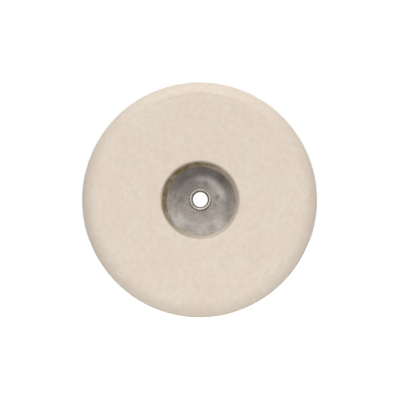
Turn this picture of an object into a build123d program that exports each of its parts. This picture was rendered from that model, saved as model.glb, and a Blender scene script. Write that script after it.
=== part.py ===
from build123d import *
import os
from math import cos, radians, sin, tan

# Felt polishing wheel with a recessed steel hub, for the end of a lapidary arbor.
#
# Frame: the wheel turns about Y and its centre is the origin.  The working face, with the
# recess for the arbor nut, looks along -Y.  The arbor enters from the back, along -Y.
# All lengths are in millimetres.  Every profile is drawn in the XY plane, with X as the
# radius and Y as the place along the axis, and is revolved about Y.

INCH = 25.4

# Wheel
wheel_diameter = 8 * INCH
wheel_width = 1.5 * INCH
bevel_radial = 9.0  # how far the broken edge reaches in from the rim
bevel_axial = 8.5  # and back from each face
bevel_blend = 14.0  # radius that rounds both ends of the bevel, so that little of it is flat

# Recess for the arbor nut, in the working face
recess_diameter = 2.6875 * INCH  # at the mouth, before it is rounded
recess_lip = 2.0  # rounding of the felt at the mouth
foot_diameter = 62.0  # of the recess where its tapered wall ends, just outside the plate
foot_depth = 8.4  # from the working face to there
wall_depth = 12.0  # how far the wall runs on down, past the plate's rim
hub_depth = 13.0  # from the working face to the flat of the front plate

# Hub plates
plate_thickness = 1.5
front_plate_diameter = 61.0
dish_seat_radius = 10.6  # of the flat at the plate's centre, which the sleeve's lip sits on
dish_floor_slope = 4.0  # of the shallow floor round that flat
dish_bend_radius = 21.2  # radius at which the floor turns up into a cone
dish_cone_slope = 22.0
dish_blend = 15.0  # inside radius of both bends
rim_rounding = 0.5
rear_plate_diameter = 2.5 * INCH
rear_plate_thickness = 2.0
sheared_edge = 0.4  # chamfer on the rear plate's rim

# Tubular rivet that joins the plates and takes the arbor
sleeve_bore = 13.0  # free fit on a 1/2 in. arbor
sleeve_wall = 1.2
lip_diameter = 19.2  # over the rolled front lip
lip_height = 1.5  # above the plate
crest_diameter = 17.3  # of the highest line of the lip
flare_width = 1.1  # how far the rear end is spread into the rear plate
flare_length = 1.5

# Places worked out from those
wheel_radius = wheel_diameter / 2
recess_radius = recess_diameter / 2
foot_radius = foot_diameter / 2
face_y = -wheel_width / 2
back_y = wheel_width / 2
plate_y = face_y + hub_depth  # front of the front plate's flat
foot_y = face_y + foot_depth
wall_end_y = face_y + wall_depth
rear_plate_y = back_y - rear_plate_thickness  # inner side of the rear plate
front_plate_radius = front_plate_diameter / 2
rear_plate_radius = rear_plate_diameter / 2
bore_radius = sleeve_bore / 2
sleeve_radius = bore_radius + sleeve_wall
flare_radius = sleeve_radius + flare_width
flare_y = back_y - flare_length

os.makedirs("parts", exist_ok=True)


def dish_corners(behind, last_radius):
    """The plate's seat, shallow floor and cone, at a distance behind its front surface."""
    floor = radians(dish_floor_slope)
    cone = radians(dish_cone_slope)
    seat_radius = dish_seat_radius + behind * tan(floor / 2)
    seat_y = plate_y + behind
    bend_radius = dish_bend_radius + behind * sin((cone + floor) / 2) / cos((cone - floor) / 2)
    bend_y = seat_y - (bend_radius - seat_radius) * tan(floor)
    last_y = bend_y - (last_radius - bend_radius) * tan(cone)
    return [
        (sleeve_radius, seat_y),
        (seat_radius, seat_y),
        (bend_radius, bend_y),
        (last_radius, last_y),
    ]


def finish(part, name):
    """Labels a finished piece and writes it as its own STEP file."""
    part.label = name
    export_step(part, f"parts/{name}.step")


# Felt body: one block of hard pressed wool, turned all over.  The recess tapers in from its
# mouth to the plate's rim and then runs straight down past it.  Its floor is turned to fit
# the back of the front plate.
ledge_radius = front_plate_radius - plate_thickness
with BuildPart() as felt_body:
    with BuildSketch() as felt_profile:
        with BuildLine():
            seat = dish_corners(plate_thickness, ledge_radius)
            seat_line = FilletPolyline(*seat, radius=dish_blend + plate_thickness)
            Polyline(
                seat_line @ 1,
                (ledge_radius, wall_end_y),
                (foot_radius, wall_end_y),
                (foot_radius, foot_y),
                (recess_radius, face_y),
                (wheel_radius - bevel_radial, face_y),
                (wheel_radius, face_y + bevel_axial),
                (wheel_radius, back_y - bevel_axial),
                (wheel_radius - bevel_radial, back_y),
                (rear_plate_radius, back_y),
                (rear_plate_radius, rear_plate_y),
                (sleeve_radius, rear_plate_y),
                seat_line @ 0,
            )
        make_face()
        bevel_start = wheel_radius - bevel_radial - 0.01
        bevel_corners = felt_profile.vertices().filter_by(lambda v: v.X > bevel_start)
        fillet(bevel_corners, bevel_blend)
        mouth = felt_profile.vertices().sort_by_distance((recess_radius, face_y))[0]
        fillet(mouth, recess_lip)
    revolve(axis=Axis.Y)
finish(felt_body.part, "felt_body")

# Front hub plate: a steel pressing with a flat centre, a shallow floor round it and a cone
# that rises towards the working face, so that the arbor nut sits in a dish below the felt.
with BuildPart() as front_hub_plate:
    with BuildSketch() as dish_profile:
        with BuildLine():
            front = dish_corners(0, front_plate_radius)
            back = dish_corners(plate_thickness, front_plate_radius)
            front_line = FilletPolyline(*front, radius=dish_blend)
            back_line = FilletPolyline(*back, radius=dish_blend + plate_thickness)
            Line(front_line @ 1, back_line @ 1)
            Line(front_line @ 0, back_line @ 0)
        make_face()
        rim_corners = dish_profile.vertices().group_by(Axis.X)[-1]
        fillet(rim_corners, rim_rounding)
    revolve(axis=Axis.Y)
finish(front_hub_plate.part, "front_hub_plate")

# Rear hub plate: a flat steel disc let in flush with the back, which bears on the arbor's
# collar.  Its hole is countersunk for the spread end of the sleeve.
with BuildPart() as rear_hub_plate:
    with BuildSketch():
        with BuildLine():
            Polyline(
                (sleeve_radius, rear_plate_y),
                (rear_plate_radius, rear_plate_y),
                (rear_plate_radius, back_y - sheared_edge),
                (rear_plate_radius - sheared_edge, back_y),
                (flare_radius, back_y),
                (sleeve_radius, flare_y),
                close=True,
            )
        make_face()
    revolve(axis=Axis.Y)
finish(rear_hub_plate.part, "rear_hub_plate")

# Arbor sleeve: a steel tube through both plates.  Its front end is rolled outwards over the
# front plate in a rounded lip, with a trumpet mouth inside, and its rear end is spread into
# the rear plate, so that it clamps the felt between them.
with BuildPart() as arbor_sleeve:
    with BuildSketch():
        with BuildLine():
            crest_radius = crest_diameter / 2
            lip_radius = lip_diameter / 2
            crest_y = plate_y - lip_height
            mouth_roll = crest_radius - bore_radius  # radius of the trumpet mouth
            lip_roll = lip_radius - crest_radius  # and of the lip's outer edge
            CenterArc((crest_radius, crest_y + mouth_roll), mouth_roll, 180, 90)
            CenterArc((crest_radius, crest_y + lip_roll), lip_roll, 270, 90)
            Polyline(
                (lip_radius, crest_y + lip_roll),
                (lip_radius, plate_y),
                (sleeve_radius, plate_y),
                (sleeve_radius, flare_y),
                (flare_radius, back_y),
                (flare_radius - sleeve_wall, back_y),
                (bore_radius, flare_y),
                (bore_radius, crest_y + mouth_roll),
            )
        make_face()
    revolve(axis=Axis.Y)
finish(arbor_sleeve.part, "arbor_sleeve")
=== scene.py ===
from math import atan, atan2, cos, hypot, pi, radians, sin, tan

import bmesh
import bpy
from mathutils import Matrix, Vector, noise


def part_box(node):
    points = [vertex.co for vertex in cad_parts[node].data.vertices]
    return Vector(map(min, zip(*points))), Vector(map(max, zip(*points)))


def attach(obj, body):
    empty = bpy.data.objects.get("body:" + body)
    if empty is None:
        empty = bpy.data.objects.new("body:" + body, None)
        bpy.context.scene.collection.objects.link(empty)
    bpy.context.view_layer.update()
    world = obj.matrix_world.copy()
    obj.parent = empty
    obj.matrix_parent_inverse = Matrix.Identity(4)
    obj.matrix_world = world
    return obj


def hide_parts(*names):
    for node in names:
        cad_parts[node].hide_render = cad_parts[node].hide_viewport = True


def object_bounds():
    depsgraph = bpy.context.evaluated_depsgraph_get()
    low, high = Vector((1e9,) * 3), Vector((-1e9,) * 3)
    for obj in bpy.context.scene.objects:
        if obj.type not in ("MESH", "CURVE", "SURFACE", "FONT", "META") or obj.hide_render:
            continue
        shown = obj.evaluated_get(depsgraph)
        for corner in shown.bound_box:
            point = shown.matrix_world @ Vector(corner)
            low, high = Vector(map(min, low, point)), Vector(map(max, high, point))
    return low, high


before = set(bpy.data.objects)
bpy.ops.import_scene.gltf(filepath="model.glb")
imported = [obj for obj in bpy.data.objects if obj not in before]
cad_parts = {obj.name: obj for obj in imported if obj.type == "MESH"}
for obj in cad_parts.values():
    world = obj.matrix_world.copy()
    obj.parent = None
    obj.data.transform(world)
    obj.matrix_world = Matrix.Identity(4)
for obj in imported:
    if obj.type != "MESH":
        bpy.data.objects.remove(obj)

# A felt polishing wheel with a riveted steel hub.  It turns about Y, its working face looks
# along -Y, and it stands on its rim on the floor.  Outlines are drawn in millimetres as
# (radius, place along the axis) and spun about Y into meshes in metres.
MM = 0.001

cad_low, cad_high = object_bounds()
felt_low, felt_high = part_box("felt_body")
front_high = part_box("front_hub_plate")[1]
rear_low, rear_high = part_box("rear_hub_plate")
sleeve_low, sleeve_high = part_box("arbor_sleeve")

# Sizes read off the frame, in millimetres
WHEEL_R = felt_high[0] / MM
FACE_Y = felt_low[1] / MM
BACK_Y = felt_high[1] / MM
FRONT_PLATE_R = front_high[0] / MM
REAR_PLATE_R = rear_high[0] / MM
REAR_PLATE_Y = rear_low[1] / MM
LIP_R = sleeve_high[0] / MM
LIP_CREST_Y = sleeve_low[1] / MM

# Sizes inside those, as the pieces are made
BEVEL_RADIAL = 9.0
BEVEL_AXIAL = 8.5
BEVEL_BLEND = 14.0
RECESS_R = 34.13
RECESS_LIP = 2.0
HUB_DEPTH = 13.0
FOOT_R = 31.0
FOOT_DEPTH = 8.4
WALL_DEPTH = 12.0
PLATE_T = 1.5
DISH_SEAT_R = 10.6
DISH_FLOOR = radians(4)
DISH_BEND_R = 21.2
DISH_CONE = radians(22)
DISH_BLEND = 15.0
DISH_RIM = 0.5  # rounding of the front plate's rim
FLANGE_RIM = 0.4  # and of the rear plate's
BORE_R = 6.5
SLEEVE_R = 7.7
MOUTH_ROLL = 2.14  # radius of the sleeve's trumpet mouth
LIP_ROLL = 0.94  # and of the outer edge of its lip
FLARE_W = 1.1
FLARE_L = 1.5

# How this wheel departs from true.  The rim is trimmed a little off the hub's centre, and the
# dish hangs low on its sleeve: its hole is cut large, and the rolled lip covers it.  Angles
# about Y are 0 at +X and 90 degrees at the top.
TRIM_X = -0.6
TRIM_Z = -0.35
MOUTH_X = -0.25
MOUTH_Z = -0.3
DISH_SHIFT = Vector((0.45, 0, -0.75))
DISH_HOLE_R = 8.6
DISH_SPREAD = 0.4  # how much wider its rim is pressed, under the felt
WALL_EASE = 0.4  # how far the foot of the felt's wall stands back for that
TOE = 1.05  # how far a toe of felt reaches in from that foot, over the rim
TOE_ROUNDING = 0.2
TOE_LEAN = 1.5  # and how much further where the wall leans in the most
LEAN_SIDE = radians(115)
LEAN_SPREAD = 0.9
LIP_WEAR = 0.9  # extra rounding of the mouth where it is most worn
WORN_SIDE = radians(-50)
TOP_CRISPNESS = 10.5  # how much less the front bevel is rounded over the top
CREASE_DEPTH = 0.45  # of the dresser's crease inside that bevel
CREASE_W = 0.7
CREASE_FROM = 0.6  # sine of the angle from which it deepens towards the top

PLATE_Y = FACE_Y + HUB_DEPTH
FOOT_Y = FACE_Y + FOOT_DEPTH

# About how far apart an outline's points are on its straight runs
FELT_STEP = 2.2
METAL_STEP = 0.8


def outline(corners, step, arc_pieces=12, like=None):
    """Closed outline of (radius, y, rounding) corners.  Each rounded corner gets arc_pieces and
    the straight runs a point about every `step` mm, counted on the corners `like` where a row
    of outlines differ a little and need the same points in the same order."""
    plan = [Vector(corner[:2]) for corner in like or corners]
    runs = []
    count = len(corners)
    for i, (r, y, rounding) in enumerate(corners):
        here = Vector((r, y))
        if not rounding:
            runs.append([here])
            continue
        before = (Vector(corners[i - 1][:2]) - here).normalized()
        after = (Vector(corners[(i + 1) % count][:2]) - here).normalized()
        half = before.angle(after) / 2
        middle = here + (before + after).normalized() * (rounding / sin(half))
        first = here + before * (rounding / tan(half)) - middle
        last = here + after * (rounding / tan(half)) - middle
        whole = first.angle(last)
        arc = []
        for k in range(arc_pieces + 1):
            share = k / arc_pieces
            ahead, back = sin(share * whole), sin((1 - share) * whole)
            arc.append(middle + (first * back + last * ahead) / sin(whole))
        runs.append(arc)
    points = []
    for i, run in enumerate(runs):
        points += run
        j = (i + 1) % count
        steps = max(1, round((plan[j] - plan[i]).length / step))
        points += [run[-1].lerp(runs[j][0], k / steps) for k in range(1, steps)]
    return points


def spin(name, outline_at, turns, shift=Vector((0, 0, 0))):
    """Spins a closed outline about Y into a closed mesh object with its faces outwards.
    outline_at gives the outline for an angle about Y."""
    shell = bmesh.new()
    rings = []
    for k in range(turns):
        angle = 2 * pi * k / turns
        around = Vector((cos(angle), 0, sin(angle)))
        spots = [(around * p.x + Vector((0, p.y, 0)) + shift) * MM for p in outline_at(angle)]
        rings.append([shell.verts.new(spot) for spot in spots])
    for k, ring in enumerate(rings):
        following = rings[(k + 1) % turns]
        for i, vert in enumerate(ring):
            j = (i + 1) % len(ring)
            face = shell.faces.new((vert, ring[j], following[j], following[i]))
            face.smooth = True
    bmesh.ops.recalc_face_normals(shell, faces=shell.faces)
    mesh = bpy.data.meshes.new(name)
    shell.to_mesh(mesh)
    shell.free()
    piece = bpy.data.objects.new(name, mesh)
    bpy.context.collection.objects.link(piece)
    return piece


def dish(behind, last_radius, rounding, hole_r=SLEEVE_R):
    """The front plate's seat, shallow floor and cone, at a distance behind its front surface."""
    seat_r = DISH_SEAT_R + behind * tan(DISH_FLOOR / 2)
    seat_y = PLATE_Y + behind
    bend_r = DISH_BEND_R + behind * sin((DISH_CONE + DISH_FLOOR) / 2) / cos(
        (DISH_CONE - DISH_FLOOR) / 2
    )
    bend_y = seat_y - (bend_r - seat_r) * tan(DISH_FLOOR)
    last_y = bend_y - (last_radius - bend_r) * tan(DISH_CONE)
    return [
        (hole_r, seat_y, 0),
        (seat_r, seat_y, rounding),
        (bend_r, bend_y, rounding),
        (last_radius, last_y, 0),
    ]


# ---------------------------------------------------------------- nodes


def linear(colour):
    """Linear RGBA from an sRGB hex value."""
    parts = [int(colour[i : i + 2], 16) / 255 for i in (1, 3, 5)]
    return [c / 12.92 if c <= 0.04045 else ((c + 0.055) / 1.055) ** 2.4 for c in parts] + [1]


def per(size_mm):
    """Texture scale on Object coordinates for features of this size."""
    return 1 / (size_mm * MM)


def give(tree, node, inputs):
    """Gives each named input of a node a value, or a socket to link from."""
    for socket, value in inputs.items():
        if isinstance(value, bpy.types.NodeSocket):
            tree.links.new(value, node.inputs[socket])
        else:
            node.inputs[socket].default_value = value


def add(tree, kind, inputs=None, **settings):
    """Adds a node with its settings and inputs."""
    node = tree.nodes.new(kind)
    for key, value in settings.items():
        setattr(node, key, value)
    give(tree, node, inputs or {})
    return node


def calc(tree, operation, *values):
    """Arithmetic on one to three numbers."""
    return add(tree, "ShaderNodeMath", dict(enumerate(values)), operation=operation).outputs[0]


def measure(tree, operation, *vectors):
    """A number from one or two vectors."""
    node = add(tree, "ShaderNodeVectorMath", dict(enumerate(vectors)), operation=operation)
    return node.outputs["Value"]


def fade(tree, value, low, high, start=0.0, end=1.0, **settings):
    """Takes a value running from low to high to one running from start to end."""
    node = add(
        tree,
        "ShaderNodeMapRange",
        {"Value": value, "From Min": low, "From Max": high, "To Min": start, "To Max": end},
        **settings,
    )
    return node.outputs[0]


def layer(tree, amount, under, over):
    """Lays an amount of one colour over another."""
    node = add(tree, "ShaderNodeMix", {0: amount, 6: under, 7: over}, data_type="RGBA")
    return node.outputs[2]


def mottle(tree, place, size_mm, detail, **more):
    """Noise with features of about this size."""
    inputs = {"Vector": place, "Scale": per(size_mm), "Detail": detail, **more}
    return add(tree, "ShaderNodeTexNoise", inputs).outputs["Fac"]


def relief(tree, height, strength, depth_mm):
    """A bumped normal."""
    inputs = {"Height": height, "Strength": strength, "Distance": depth_mm * MM}
    return add(tree, "ShaderNodeBump", inputs).outputs[0]


def surface(name):
    """A new material, its node tree, its Principled shader and its Object coordinates."""
    material = bpy.data.materials.new(name)
    material.use_nodes = True
    tree = material.node_tree
    place = add(tree, "ShaderNodeTexCoord").outputs["Object"]
    return material, tree, tree.nodes["Principled BSDF"], place


# ---------------------------------------------------------------- materials

# Side of the recess wall most in shade, where its painted shade is heaviest
SHADE_SIDE = radians(138)


def painted_recess_shade(tree, place, colour):
    """Painted shade on the wall of the recess: browns the wool below the mouth and deeper in,
    heaviest over the top and the left, where the wall is in shade, and broken up by noise."""
    parts = add(tree, "ShaderNodeSeparateXYZ", {0: place}).outputs
    flat = add(tree, "ShaderNodeCombineXYZ", {"X": parts["X"], "Z": parts["Z"]}).outputs[0]
    radius = measure(tree, "LENGTH", flat)
    side = measure(tree, "DOT_PRODUCT", place, (cos(SHADE_SIDE), 0, sin(SHADE_SIDE)))
    patchy = mottle(tree, place, 7, 3.0)
    inside = fade(tree, radius, (RECESS_R + 0.9) * MM, (RECESS_R + 0.1) * MM)
    below_mouth = fade(tree, parts["Y"], (FACE_Y + 0.6) * MM, (FACE_Y + 3) * MM)
    front_half = fade(tree, parts["Y"], 0.0, -3 * MM)
    shaded_side = fade(tree, side, -0.9 * RECESS_R * MM, 0.7 * RECESS_R * MM, 0.1)
    broken = fade(tree, patchy, 0.3, 0.6, 0.7)
    amount = inside
    for mask in (below_mouth, front_half, shaded_side, broken):
        amount = calc(tree, "MULTIPLY", amount, mask)
    # the brown of the painted shade
    return layer(tree, amount, colour, linear("#7c6947"))


# Hard pressed wool felt, undyed: fibres matted in every direction, so it is matt, warm
# off-white, softly clouded, and finely pebbled where tufts stand above the mat.
felt, tree, shader, place = surface("pressed_wool_felt")
cloud = mottle(tree, place, 26, 3.0)
blotch = mottle(tree, place, 4.5, 2.0)
# tufts are nearer 0.5 mm; drawn at 1.6 mm so that they show at this size
tuft = mottle(tree, place, 1.6, 4.0)
mat = mottle(tree, place, 0.7, 2.0)
wool = layer(tree, cloud, linear("#e7d6c8"), linear("#ebe2d1"))
wool = layer(tree, fade(tree, blotch, 0.35, 0.65, 0.32, 0.0), wool, linear("#d9c9b6"))
wool = layer(tree, fade(tree, tuft, 0.30, 0.62, 0.24, 0.0), wool, linear("#cdbcaa"))
give(tree, shader, {
    # the wool's own colour, with painted shade over the recess wall
    "Base Color": painted_recess_shade(tree, place, wool),
    "Roughness": fade(tree, tuft, 0.3, 0.7, 0.98, 0.88),
    "Normal": relief(tree, calc(tree, "ADD", tuft, mat), 0.35, 0.25),
    "IOR": 1.5,
    "Specular IOR Level": 0.2,
    "Sheen Weight": 0.15,
    "Sheen Roughness": 0.5,
})

# Loose wool fibres of the nap: the same undyed wool, a little paler for being thin.
nap_wool, tree, shader, place = surface("loose_wool_fibre")
shade = mottle(tree, place, 4, 1.0)
wool = layer(tree, shade, linear("#ddcdb8"), linear("#f0e6d8"))
give(tree, shader, {
    # the same painted shade on the nap inside the recess
    "Base Color": painted_recess_shade(tree, place, wool),
    "Roughness": fade(tree, shade, 0.0, 1.0, 0.7, 0.95),
    "Specular IOR Level": 0.25,
})


def plated_steel(name, dull, clean, stain, smooth, rough, cloud_mm, patches=()):
    """Zinc-plated mild steel gone dull: cloudy grey, with brown-grey stains and fine wear, and
    a soft patch of another colour at each (x, z, radius, strength, colour)."""
    material, tree, shader, place = surface(name)
    cloud = mottle(tree, place, cloud_mm, 5.0, Roughness=0.6, Distortion=0.3)
    grain = mottle(tree, place, 1.1, 3.0)
    spots = mottle(tree, place, 5.5, 2.0)
    colour = layer(tree, fade(tree, cloud, 0.35, 0.65), linear(dull), linear(clean))
    colour = layer(tree, fade(tree, grain, 0.40, 0.70, 0.0, 0.4), colour, linear(stain))
    colour = layer(tree, fade(tree, spots, 0.58, 0.74, 0.0, 0.4), colour, linear(stain))
    # Patches lay painted highlight and painted dark reflection as well as real marks
    for x, z, radius, strength, tint in patches:
        apart = measure(tree, "DISTANCE", place, (x * MM, PLATE_Y * MM, z * MM))
        core, edge = 0.2 * radius * MM, radius * MM
        mark = fade(tree, apart, core, edge, strength, 0.0, interpolation_type="SMOOTHSTEP")
        colour = layer(tree, mark, colour, linear(tint))
    give(tree, shader, {
        "Base Color": colour,
        "Roughness": fade(tree, cloud, 0.3, 0.7, rough, smooth),
        "Normal": relief(tree, calc(tree, "ADD", grain, spots), 0.25, 0.05),
        "Metallic": 1.0,
    })
    return material


# The hub's plates have dulled most.  Painted dark reflection darkens the cone over the top, where
# it faces down, and painted highlight brightens it along its bend and low down, where it faces
# up.
# Colour of the painted highlights on the cone
PAINTED_HIGHLIGHT = "#cfc9c2"
DRIED = "#655e57"
PAINTED_LIGHT_AND_DRIED_MARKS = [
    (-12, 13, 13, 0.4, "#6b6460"),  # painted dark reflection over the upper left
    (3, 25, 12, 0.3, "#6d6668"),  # and the top
    (21, 18, 12, 0.42, "#5d5650"),  # and the upper right of the cone
    (0, 19, 6, 0.2, PAINTED_HIGHLIGHT),  # painted highlight along the bend inside that
    (5, 18.5, 6.5, 0.25, PAINTED_HIGHLIGHT),
    (9.5, 16.5, 6.5, 0.3, PAINTED_HIGHLIGHT),
    (13.5, 13.5, 6.5, 0.3, PAINTED_HIGHLIGHT),
    (16.5, 9.5, 6.5, 0.3, PAINTED_HIGHLIGHT),
    (18.5, 5, 6, 0.25, PAINTED_HIGHLIGHT),
    (-19, -20, 11, 0.4, PAINTED_HIGHLIGHT),  # painted highlight where the cone is low
    (19, -21, 10, 0.3, PAINTED_HIGHLIGHT),
    (5, 14, 3.5, 0.5, DRIED),  # marks where drops have dried
    (15, 2.5, 3.5, 0.5, DRIED),
    (-17, 0, 4.5, 0.35, DRIED),
]
plate_zinc = plated_steel(
    "zinc_plate_tarnish_and_painted_light", "#968f88", "#aaa39b", "#655d55", 0.40, 0.52, 12, PAINTED_LIGHT_AND_DRIED_MARKS
)
# The sleeve is brighter and smoother, burnished by the roll that turned its lip.
sleeve_zinc = plated_steel("worn_zinc_sleeve", "#a69e95", "#cfc8bf", "#7d7368", 0.24, 0.36, 5)

# ---------------------------------------------------------------- felt

ledge_r = FRONT_PLATE_R - PLATE_T
seat = dish(PLATE_T, ledge_r, DISH_BLEND + PLATE_T)


def felt_corners(rim_r, blend, crease, mouth_r, lip, foot_r, toe_r):
    """The felt's section, by its rim, with a crease just inside the front one, its recess's
    mouth, and the foot of the recess's wall, where a toe of felt overhangs the plate."""
    bevel_r = rim_r - BEVEL_RADIAL
    crease_r = bevel_r - blend * tan(atan2(BEVEL_AXIAL, BEVEL_RADIAL) / 2) - CREASE_W
    return [
        (ledge_r, FACE_Y + WALL_DEPTH, 0),
        (foot_r, FACE_Y + WALL_DEPTH, 0),
        (foot_r, FOOT_Y, 0),
        (toe_r, FOOT_Y, TOE_ROUNDING),
        (mouth_r, FACE_Y, lip),
        (crease_r - CREASE_W, FACE_Y, 0),
        (crease_r, FACE_Y + crease, 0),
        (bevel_r, FACE_Y, blend),
        (rim_r, FACE_Y + BEVEL_AXIAL, BEVEL_BLEND),
        (rim_r, BACK_Y - BEVEL_AXIAL, BEVEL_BLEND),
        (bevel_r, BACK_Y, BEVEL_BLEND),
        (REAR_PLATE_R, BACK_Y, 0),
        (REAR_PLATE_R, REAR_PLATE_Y, 0),
        (SLEEVE_R, REAR_PLATE_Y, 0),
        *seat,
    ]


true_corners = felt_corners(
    WHEEL_R, BEVEL_BLEND, 0, RECESS_R, RECESS_LIP, FOOT_R + WALL_EASE, FOOT_R
)


def felt_outline(angle):
    """The rims are dressed by hand, so the front one is crisper over the top, where the dresser
    has left a crease.  The wall of the recess is crisp at its mouth and leans in over the
    plate towards the upper left, and is worn rounder towards the lower right."""
    across, up = cos(angle), sin(angle)
    rim_r = WHEEL_R + TRIM_X * across + TRIM_Z * up
    blend = BEVEL_BLEND - TOP_CRISPNESS * max(0, up) ** 2
    crease = CREASE_DEPTH * max(0, up - CREASE_FROM) / (1 - CREASE_FROM)
    mouth_r = RECESS_R + MOUTH_X * across + MOUTH_Z * up
    lip = RECESS_LIP + LIP_WEAR * cos(angle - WORN_SIDE)
    foot_r = FOOT_R + WALL_EASE + DISH_SHIFT.x * across + DISH_SHIFT.z * up
    lean = min(1, max(0, 0.5 + LEAN_SPREAD * cos(angle - LEAN_SIDE)))
    toe_r = foot_r - TOE - TOE_LEAN * lean
    corners = felt_corners(rim_r, blend, crease, mouth_r, lip, foot_r, toe_r)
    return outline(corners, FELT_STEP, like=true_corners)


felt_wheel = spin("felt_wheel", felt_outline, turns=450)
felt_wheel.data.materials.append(felt)

# Height in mm and span in mm of the unevenness left by pressing, and of the tufts
PILLOW, PILLOW_SPAN = 0.16, 16
PEBBLE, PEBBLE_SPAN = 0.07, 3.2
HUB_MARGIN = 0.8  # mm outside the rear plate within which nothing moves or grows
HUB_EASE = 3  # mm over which it starts to


def unevenness(spot):
    """How far the felt stands out at a place in metres, in millimetres."""
    broad = noise.noise(spot * per(PILLOW_SPAN)) * PILLOW
    fine = noise.noise(spot * per(PEBBLE_SPAN)) * PEBBLE
    return broad + fine


mesh = felt_wheel.data
normals = [v.normal.copy() for v in mesh.vertices]
for v, normal in zip(mesh.vertices, normals):
    radius = hypot(v.co.x, v.co.z) / MM
    away = min(1, max(0, (radius - REAR_PLATE_R - HUB_MARGIN) / HUB_EASE))
    v.co += normal * unevenness(v.co) * away * MM

# Zones of the felt for the nap, told apart with margins of up to a millimetre
HIDDEN, FACE, RIM, BACK, WALL = range(5)
zone = mesh.attributes.new("zone", "INT", "FACE")
for face in mesh.polygons:
    centre = face.center
    radius = hypot(centre.x, centre.z) / MM
    depth = centre.y / MM - FACE_Y
    if radius > WHEEL_R - BEVEL_RADIAL:
        kind = RIM
    elif radius < RECESS_R + 1 and 0.3 < depth < FOOT_DEPTH - 0.1:
        kind = WALL
    elif radius < REAR_PLATE_R + HUB_MARGIN and depth > 1:
        kind = HIDDEN
    else:
        kind = FACE if centre.y < 0 else BACK
    zone.data[face.index].value = kind

# ---------------------------------------------------------------- metal

dish_r = FRONT_PLATE_R + DISH_SPREAD
front_corners = dish(0, dish_r, DISH_BLEND, DISH_HOLE_R)
back_corners = dish(PLATE_T, dish_r, DISH_BLEND + PLATE_T, DISH_HOLE_R)
front_corners[-1] = front_corners[-1][:2] + (DISH_RIM,)
back_corners[-1] = back_corners[-1][:2] + (DISH_RIM,)
dish_outline = outline(front_corners + back_corners[::-1], METAL_STEP, arc_pieces=8)
hub_dish = spin("hub_dish", lambda angle: dish_outline, turns=360, shift=DISH_SHIFT)
hub_dish.data.materials.append(plate_zinc)

rear_corners = [
    (SLEEVE_R, REAR_PLATE_Y, 0),
    (REAR_PLATE_R, REAR_PLATE_Y, 0),
    (REAR_PLATE_R, BACK_Y, FLANGE_RIM),
    (SLEEVE_R + FLARE_W, BACK_Y, 0),
    (SLEEVE_R, BACK_Y - FLARE_L, 0),
]
flange_outline = outline(rear_corners, METAL_STEP, arc_pieces=5)
hub_flange = spin("hub_flange", lambda angle: flange_outline, turns=300)
hub_flange.data.materials.append(plate_zinc)

sleeve_corners = [
    (BORE_R, LIP_CREST_Y, MOUTH_ROLL),
    (LIP_R, LIP_CREST_Y, LIP_ROLL),
    (LIP_R, PLATE_Y, 0),
    (SLEEVE_R, PLATE_Y, 0),
    (SLEEVE_R, BACK_Y - FLARE_L, 0),
    (SLEEVE_R + FLARE_W, BACK_Y, 0),
    (BORE_R + FLARE_W, BACK_Y, 0),
    (BORE_R, BACK_Y - FLARE_L, 0),
]
sleeve_outline = outline(sleeve_corners, METAL_STEP, arc_pieces=10)
rolled_sleeve = spin("rolled_sleeve", lambda angle: sleeve_outline, turns=240)
rolled_sleeve.data.materials.append(sleeve_zinc)

# ---------------------------------------------------------------- nap

NAP_INPUTS = {
    "Zone": "NodeSocketInt",
    "Density": "NodeSocketFloat",
    "Length": "NodeSocketFloat",
    "Thickness": "NodeSocketFloat",
    "Lean": "NodeSocketFloat",
    "Seed": "NodeSocketInt",
}
BOW = 0.45  # how far a fibre bows to the side, as a share of its length
TIP = 0.35  # how thick its tip is, as a share of its root
SMALLEST, LARGEST = 0.5, 1.35  # sizes of the fibres, as shares of the one drawn


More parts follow.
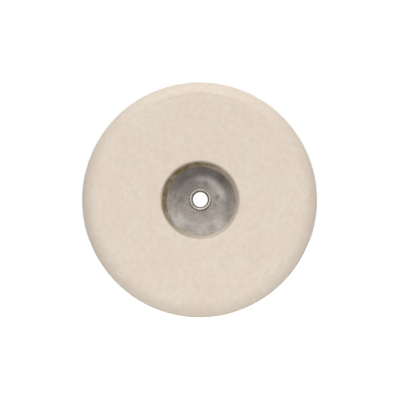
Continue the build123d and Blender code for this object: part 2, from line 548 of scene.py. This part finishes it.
def nap_tree():
    """Geometry Nodes: curled tapering fibres scattered over one zone of the felt."""
    tree = bpy.data.node_groups.new("wool_nap", "GeometryNodeTree")
    face = tree.interface
    face.new_socket("Geometry", in_out="INPUT", socket_type="NodeSocketGeometry")
    for name, kind in NAP_INPUTS.items():
        face.new_socket(name, in_out="INPUT", socket_type=kind)
    face.new_socket("Geometry", in_out="OUTPUT", socket_type="NodeSocketGeometry")
    given = add(tree, "NodeGroupInput").outputs

    def chance(low, high, draw):
        """A number for each fibre, drawn with the tree's seed."""
        seed = add(tree, "FunctionNodeIntegerMath", {0: given["Seed"], 1: draw}, operation="ADD")
        inputs = {2: low, 3: high, "Seed": seed.outputs[0]}
        return add(tree, "FunctionNodeRandomValue", inputs, data_type="FLOAT").outputs[1]

    where = add(tree, "GeometryNodeInputNamedAttribute", {"Name": "zone"}, data_type="INT")
    here = add(
        tree,
        "FunctionNodeCompare",
        {2: where.outputs[0], 3: given["Zone"]},
        data_type="INT",
        operation="EQUAL",
    )
    roots = add(
        tree,
        "GeometryNodeDistributePointsOnFaces",
        {"Mesh": given["Geometry"], "Selection": here.outputs[0], "Density": given["Density"],
         "Seed": given["Seed"]},
    )
    bow = calc(tree, "MULTIPLY", given["Length"], BOW)
    middle = add(tree, "ShaderNodeCombineXYZ", {"X": 0.0, "Z": bow})
    tip = add(tree, "ShaderNodeCombineXYZ", {"X": bow, "Z": given["Length"]})
    curl = add(
        tree,
        "GeometryNodeCurveQuadraticBezier",
        {"Resolution": 3, "Start": (0, 0, 0), "Middle": middle.outputs[0], "End": tip.outputs[0]},
    )
    along = add(tree, "GeometryNodeSplineParameter").outputs["Factor"]
    taper = fade(tree, along, 0.0, 1.0, 1.0, TIP)
    tapered = add(tree, "GeometryNodeSetCurveRadius", {"Curve": curl.outputs[0], "Radius": taper})
    section = add(
        tree, "GeometryNodeCurvePrimitiveCircle", {"Resolution": 3, "Radius": given["Thickness"]}
    )
    fibre = add(
        tree,
        "GeometryNodeCurveToMesh",
        {"Curve": tapered.outputs[0], "Profile Curve": section.outputs[0], "Fill Caps": True},
    )
    lean = chance(0.0, given["Lean"], 0)
    whirl = chance(0.0, 2 * pi, 1)
    size = chance(SMALLEST, LARGEST, 2)
    tilt = add(tree, "ShaderNodeCombineXYZ", {"X": lean, "Z": whirl})
    turned = add(tree, "FunctionNodeEulerToRotation", {0: tilt.outputs[0]})
    pose = add(
        tree,
        "FunctionNodeRotateRotation",
        {0: roots.outputs["Rotation"], 1: turned.outputs[0]},
        rotation_space="LOCAL",
    )
    planted = add(
        tree,
        "GeometryNodeInstanceOnPoints",
        {"Points": roots.outputs["Points"], "Instance": fibre.outputs[0],
         "Rotation": pose.outputs[0], "Scale": size},
    )
    real = add(tree, "GeometryNodeRealizeInstances", {0: planted.outputs[0]})
    dressed = add(
        tree, "GeometryNodeSetMaterial", {"Geometry": real.outputs[0], "Material": nap_wool}
    )
    add(tree, "NodeGroupOutput", {0: dressed.outputs[0]})
    return tree


nap_nodes = nap_tree()


def grow(name, **values):
    """A plain mesh piece of the nap's fibres, with the tree's inputs set by name."""
    base = felt_wheel.copy()
    base.data = felt_wheel.data.copy()
    bpy.context.collection.objects.link(base)
    growth = base.modifiers.new("nap", "NODES")
    growth.node_group = nap_nodes
    for socket in nap_nodes.interface.items_tree:
        if socket.name in values:
            growth[socket.identifier] = values[socket.name]
    bpy.context.view_layer.update()
    grown = base.evaluated_get(bpy.context.evaluated_depsgraph_get())
    mesh = bpy.data.meshes.new_from_object(grown)
    bpy.data.objects.remove(base)
    mesh.name = name
    piece = bpy.data.objects.new(name, mesh)
    bpy.context.collection.objects.link(piece)
    return piece


FIBRE_T = 0.022 * MM  # half the thickness of a coarse wool fibre
naps = [
    grow("nap_face", Zone=FACE, Density=2.6e5, Length=0.75 * MM, Thickness=FIBRE_T,
         Lean=radians(80), Seed=11),
    grow("nap_rim", Zone=RIM, Density=2.2e5, Length=0.95 * MM, Thickness=FIBRE_T,
         Lean=radians(65), Seed=23),
    grow("nap_back", Zone=BACK, Density=2.6e5, Length=0.75 * MM, Thickness=FIBRE_T,
         Lean=radians(80), Seed=37),
    grow("nap_recess", Zone=WALL, Density=6.0e5, Length=0.6 * MM, Thickness=FIBRE_T,
         Lean=radians(70), Seed=51),
]

# ---------------------------------------------------------------- stage

FLOOR = 3.0  # m, half its width
NAP_LIFT = 1.2  # mm, how far the nap holds the wheel off the floor
floor_z = cad_low[2] - NAP_LIFT * MM
floor_mesh = bpy.data.meshes.new("floor")
corners = [(x * FLOOR, y * FLOOR, floor_z) for x, y in ((-1, -1), (1, -1), (1, 1), (-1, 1))]
floor_mesh.from_pydata(corners, [], [(0, 1, 2, 3)])
floor = bpy.data.objects.new("floor", floor_mesh)
bpy.context.collection.objects.link(floor)
pale, tree, shader, place = surface("pale_studio_floor")
give(tree, shader, {
    "Base Color": linear("#fbfbfb"),
    "Roughness": 0.9,
    "Emission Color": linear("#ffffff"),
    "Emission Strength": 0.75,
})
floor_mesh.materials.append(pale)
floor.visible_glossy = False
floor.visible_diffuse = False
floor.visible_shadow = False

# Studio: a white sweep behind, and soft glows round the front, each (azimuth, elevation,
# strength, tightness).  Azimuth 0 is by the camera and 90 is to its right.
GLOWS = [
    (-10, 22, 1.5, 4.5),  # big softbox in front, above the camera
    (0, 76, 1.2, 5.0),  # and another overhead
    (-35, 0, 0.4, 8.0),  # card to the left
    (46, 4, 1.1, 16.0),  # narrow card to the right
    (36, 30, 0.9, 16.0),  # and a lamp above it
    (34, -30, 0.15, 10.0),  # faint spill below it
    (0, -85, 1.1, 8.0),  # the white table underneath
]
BACKDROP = 0.5
world = bpy.data.worlds.new("studio")
bpy.context.scene.world = world
world.use_nodes = True
tree = world.node_tree
tree.nodes.clear()
way = add(tree, "ShaderNodeTexCoord").outputs["Generated"]
depth = add(tree, "ShaderNodeSeparateXYZ", {0: way}).outputs["Y"]
total = fade(tree, depth, -0.05, 0.25, 0.0, BACKDROP, interpolation_type="SMOOTHSTEP")
for azimuth, elevation, strength, tightness in GLOWS:
    az, el = radians(azimuth), radians(elevation)
    near = measure(tree, "DOT_PRODUCT", way, (sin(az) * cos(el), -cos(az) * cos(el), sin(el)))
    fall = calc(tree, "MULTIPLY_ADD", near, tightness, -tightness)
    total = calc(tree, "MULTIPLY_ADD", calc(tree, "EXPONENT", fall), strength, total)
lit = add(tree, "ShaderNodeBackground", {"Color": (1, 1, 1, 1), "Strength": total})
white = add(tree, "ShaderNodeBackground", {"Color": (1, 1, 1, 1), "Strength": 1.0})
path = add(tree, "ShaderNodeLightPath")
either = add(
    tree,
    "ShaderNodeMixShader",
    {0: path.outputs["Is Camera Ray"], 1: lit.outputs[0], 2: white.outputs[0]},
)
add(tree, "ShaderNodeOutputWorld", {0: either.outputs[0]})

# Bounce card under the wheel, out of sight of the bright metal
card_data = bpy.data.lights.new("low_bounce_card", "AREA")
card_data.size = 0.8
card_data.energy = 3.0
card = bpy.data.objects.new("low_bounce_card", card_data)
card.location = (0, -0.35, -1.1)
card.rotation_euler = (-card.location).to_track_quat("-Z", "Y").to_euler()
card.visible_glossy = False
bpy.context.collection.objects.link(card)

# Camera: nearly square to the face, half a degree to the right, through a long lens
CAMERA_AWAY = 1.6  # m
VIEW_WIDTH = 0.3452  # m, across the frame at the wheel
SIDE = radians(0.5)
camera_data = bpy.data.cameras.new("camera")
camera_data.sensor_width = 36
camera_data.angle = 2 * atan(VIEW_WIDTH / 2 / CAMERA_AWAY)
camera = bpy.data.objects.new("camera", camera_data)
aim = Vector((-0.0001, FACE_Y * MM / 2, -0.0003))  # m, a hair off the axis
camera.location = aim + Vector((sin(SIDE), -cos(SIDE), 0)) * CAMERA_AWAY
camera.rotation_euler = (aim - camera.location).to_track_quat("-Z", "Y").to_euler()
bpy.context.collection.objects.link(camera)
bpy.context.scene.camera = camera
bpy.context.scene.view_settings.view_transform = "Standard"

# ---------------------------------------------------------------- frame

for piece, node, finish in (
    (felt_wheel, "felt_body", "felt"),
    (hub_dish, "front_hub_plate", "plate_steel"),
    (hub_flange, "rear_hub_plate", "plate_steel"),
    (rolled_sleeve, "arbor_sleeve", "sleeve_steel"),
):
    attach(piece, "root")
    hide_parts(node)
for piece in naps:
    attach(piece, "root")
